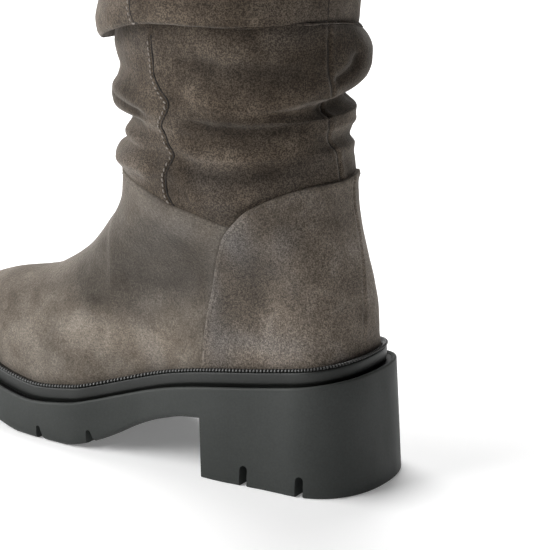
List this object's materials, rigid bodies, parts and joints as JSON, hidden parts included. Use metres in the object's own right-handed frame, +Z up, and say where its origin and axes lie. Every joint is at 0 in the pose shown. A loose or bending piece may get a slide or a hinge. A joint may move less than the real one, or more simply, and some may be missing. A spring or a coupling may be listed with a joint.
{
  "type": "slouch_boot",
  "caption": "Left slouch boot in taupe suede: gathered shaft, heel counter panel and a chunky moulded rubber sole unit with block heel.",
  "frame": {"origin": "on the floor, under the middle of the boot's bounding box", "axes": "+Z up; toe towards -X, heel towards +X; outer side towards -Y, inner side towards +Y"},
  "size_m": [0.2872, 0.109, 0.302],
  "materials": {
    "sole_rubber": "satin moulded rubber",
    "band_rubber": "satin moulded rubber",
    "welt_rubber": "glossy notched strip",
    "footbed": "smooth leather",
    "shaft_suede": "suede nap",
    "vamp_suede": "suede nap",
    "counter_suede": "suede nap"
  },
  "bodies": {
    "root": {"outsole": "sole_rubber", "midsole": "band_rubber", "welt": "welt_rubber", "insole": "footbed", "upper": "shaft_suede", "vamp": "vamp_suede", "counter": "counter_suede"}
  },
  "joints": []
}
